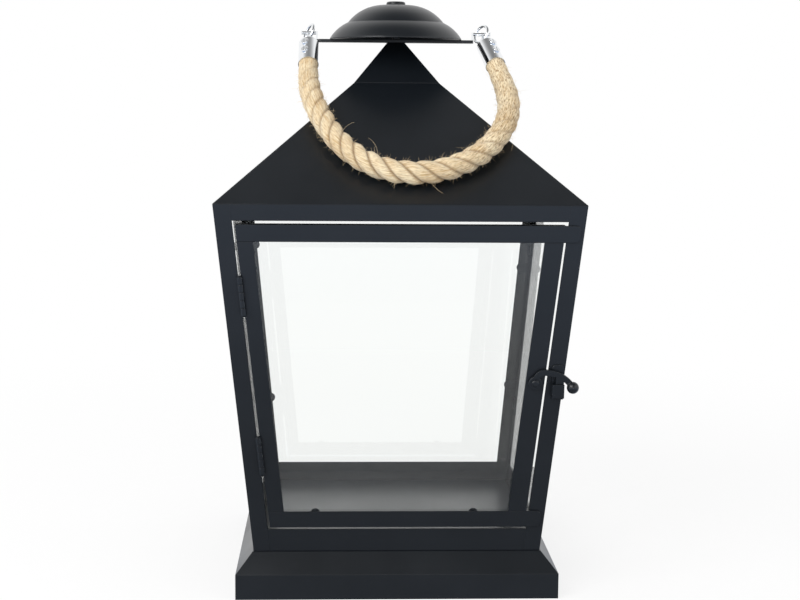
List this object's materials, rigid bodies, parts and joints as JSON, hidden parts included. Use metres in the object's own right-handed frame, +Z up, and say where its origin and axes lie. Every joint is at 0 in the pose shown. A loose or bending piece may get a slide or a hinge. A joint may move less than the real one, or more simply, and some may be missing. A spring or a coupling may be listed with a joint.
{
  "type": "lantern",
  "caption": "Square tapered glazed lantern with a hinged front door, hook latch, hipped roof with domed cap, and a rope carrying handle.",
  "frame": {"origin": "middle of the plinth's underside, on the surface it stands on", "axes": "+Z up, -Y out of the door's front, +X to the right as seen from the front"},
  "size_m": [0.28, 0.2803, 0.4648],
  "materials": {
    "black_paint": "satin",
    "window_glass": "clear",
    "jute_rope": "fibrous",
    "chromed_steel": "polished",
    "zinc_steel": "dull"
  },
  "bodies": {
    "frame": {"base_plinth": "black_paint", "floor_plate": "black_paint", "post_front_left": "black_paint", "post_front_right": "black_paint", "post_back_left": "black_paint", "post_back_right": "black_paint", "top_rail_front": "black_paint", "top_rail_back": "black_paint", "top_rail_left": "black_paint", "top_rail_right": "black_paint", "bottom_rail_front": "black_paint", "bottom_rail_back": "black_paint", "bottom_rail_left": "black_paint", "bottom_rail_right": "black_paint", "glass_back": "window_glass", "glass_left": "window_glass", "glass_right": "window_glass", "pane_tabs_back": "black_paint", "pane_tabs_left": "black_paint", "pane_tabs_right": "black_paint", "roof_panel_front": "black_paint", "roof_panel_back": "black_paint", "roof_panel_left": "black_paint", "roof_panel_right": "black_paint", "roof_cowl": "black_paint", "carry_bar": "black_paint", "ring_pin_left": "chromed_steel", "ring_pin_right": "chromed_steel", "dome_cap": "black_paint", "dome_knob": "black_paint", "dome_stud": "black_paint", "stud_nut": "zinc_steel", "hinge_upper_frame_leaf": "black_paint", "hinge_upper_pin": "black_paint", "hinge_lower_frame_leaf": "black_paint", "hinge_lower_pin": "black_paint", "latch_catch": "black_paint"},
    "door": {"door_hinge_stile": "black_paint", "door_latch_stile": "black_paint", "door_top_rail": "black_paint", "door_bottom_rail": "black_paint", "door_glass": "window_glass", "door_tabs": "black_paint", "hinge_upper_door_leaf": "black_paint", "hinge_lower_door_leaf": "black_paint", "latch_spacer": "black_paint", "latch_rivet": "black_paint"},
    "latch_hook": {"latch_hook": "black_paint"},
    "handle": {"rope_handle": "jute_rope", "rope_cup_left": "chromed_steel", "rope_cup_right": "chromed_steel", "cup_screws": "chromed_steel", "handle_ring_left": "chromed_steel", "handle_ring_right": "chromed_steel"}
  },
  "joints": [
    {"name": "door_swing", "type": "hinge", "parent": "frame", "child": "door", "pos_m": [-0.11207, -0.12977, 0.172], "axis": [0.1015, 0.1015, -0.9896], "range_deg": [0, 110]},
    {"name": "latch_lift", "type": "hinge", "parent": "door", "child": "latch_hook", "pos_m": [0.10387, -0.12607, 0.172], "axis": [0, -0.9948, -0.102], "range_deg": [0, 60]},
    {"name": "handle_swing", "type": "hinge", "parent": "frame", "child": "handle", "pos_m": [0, 0, 0.439], "axis": [-1, 0, 0], "range_deg": [0, 258]}
  ]
}
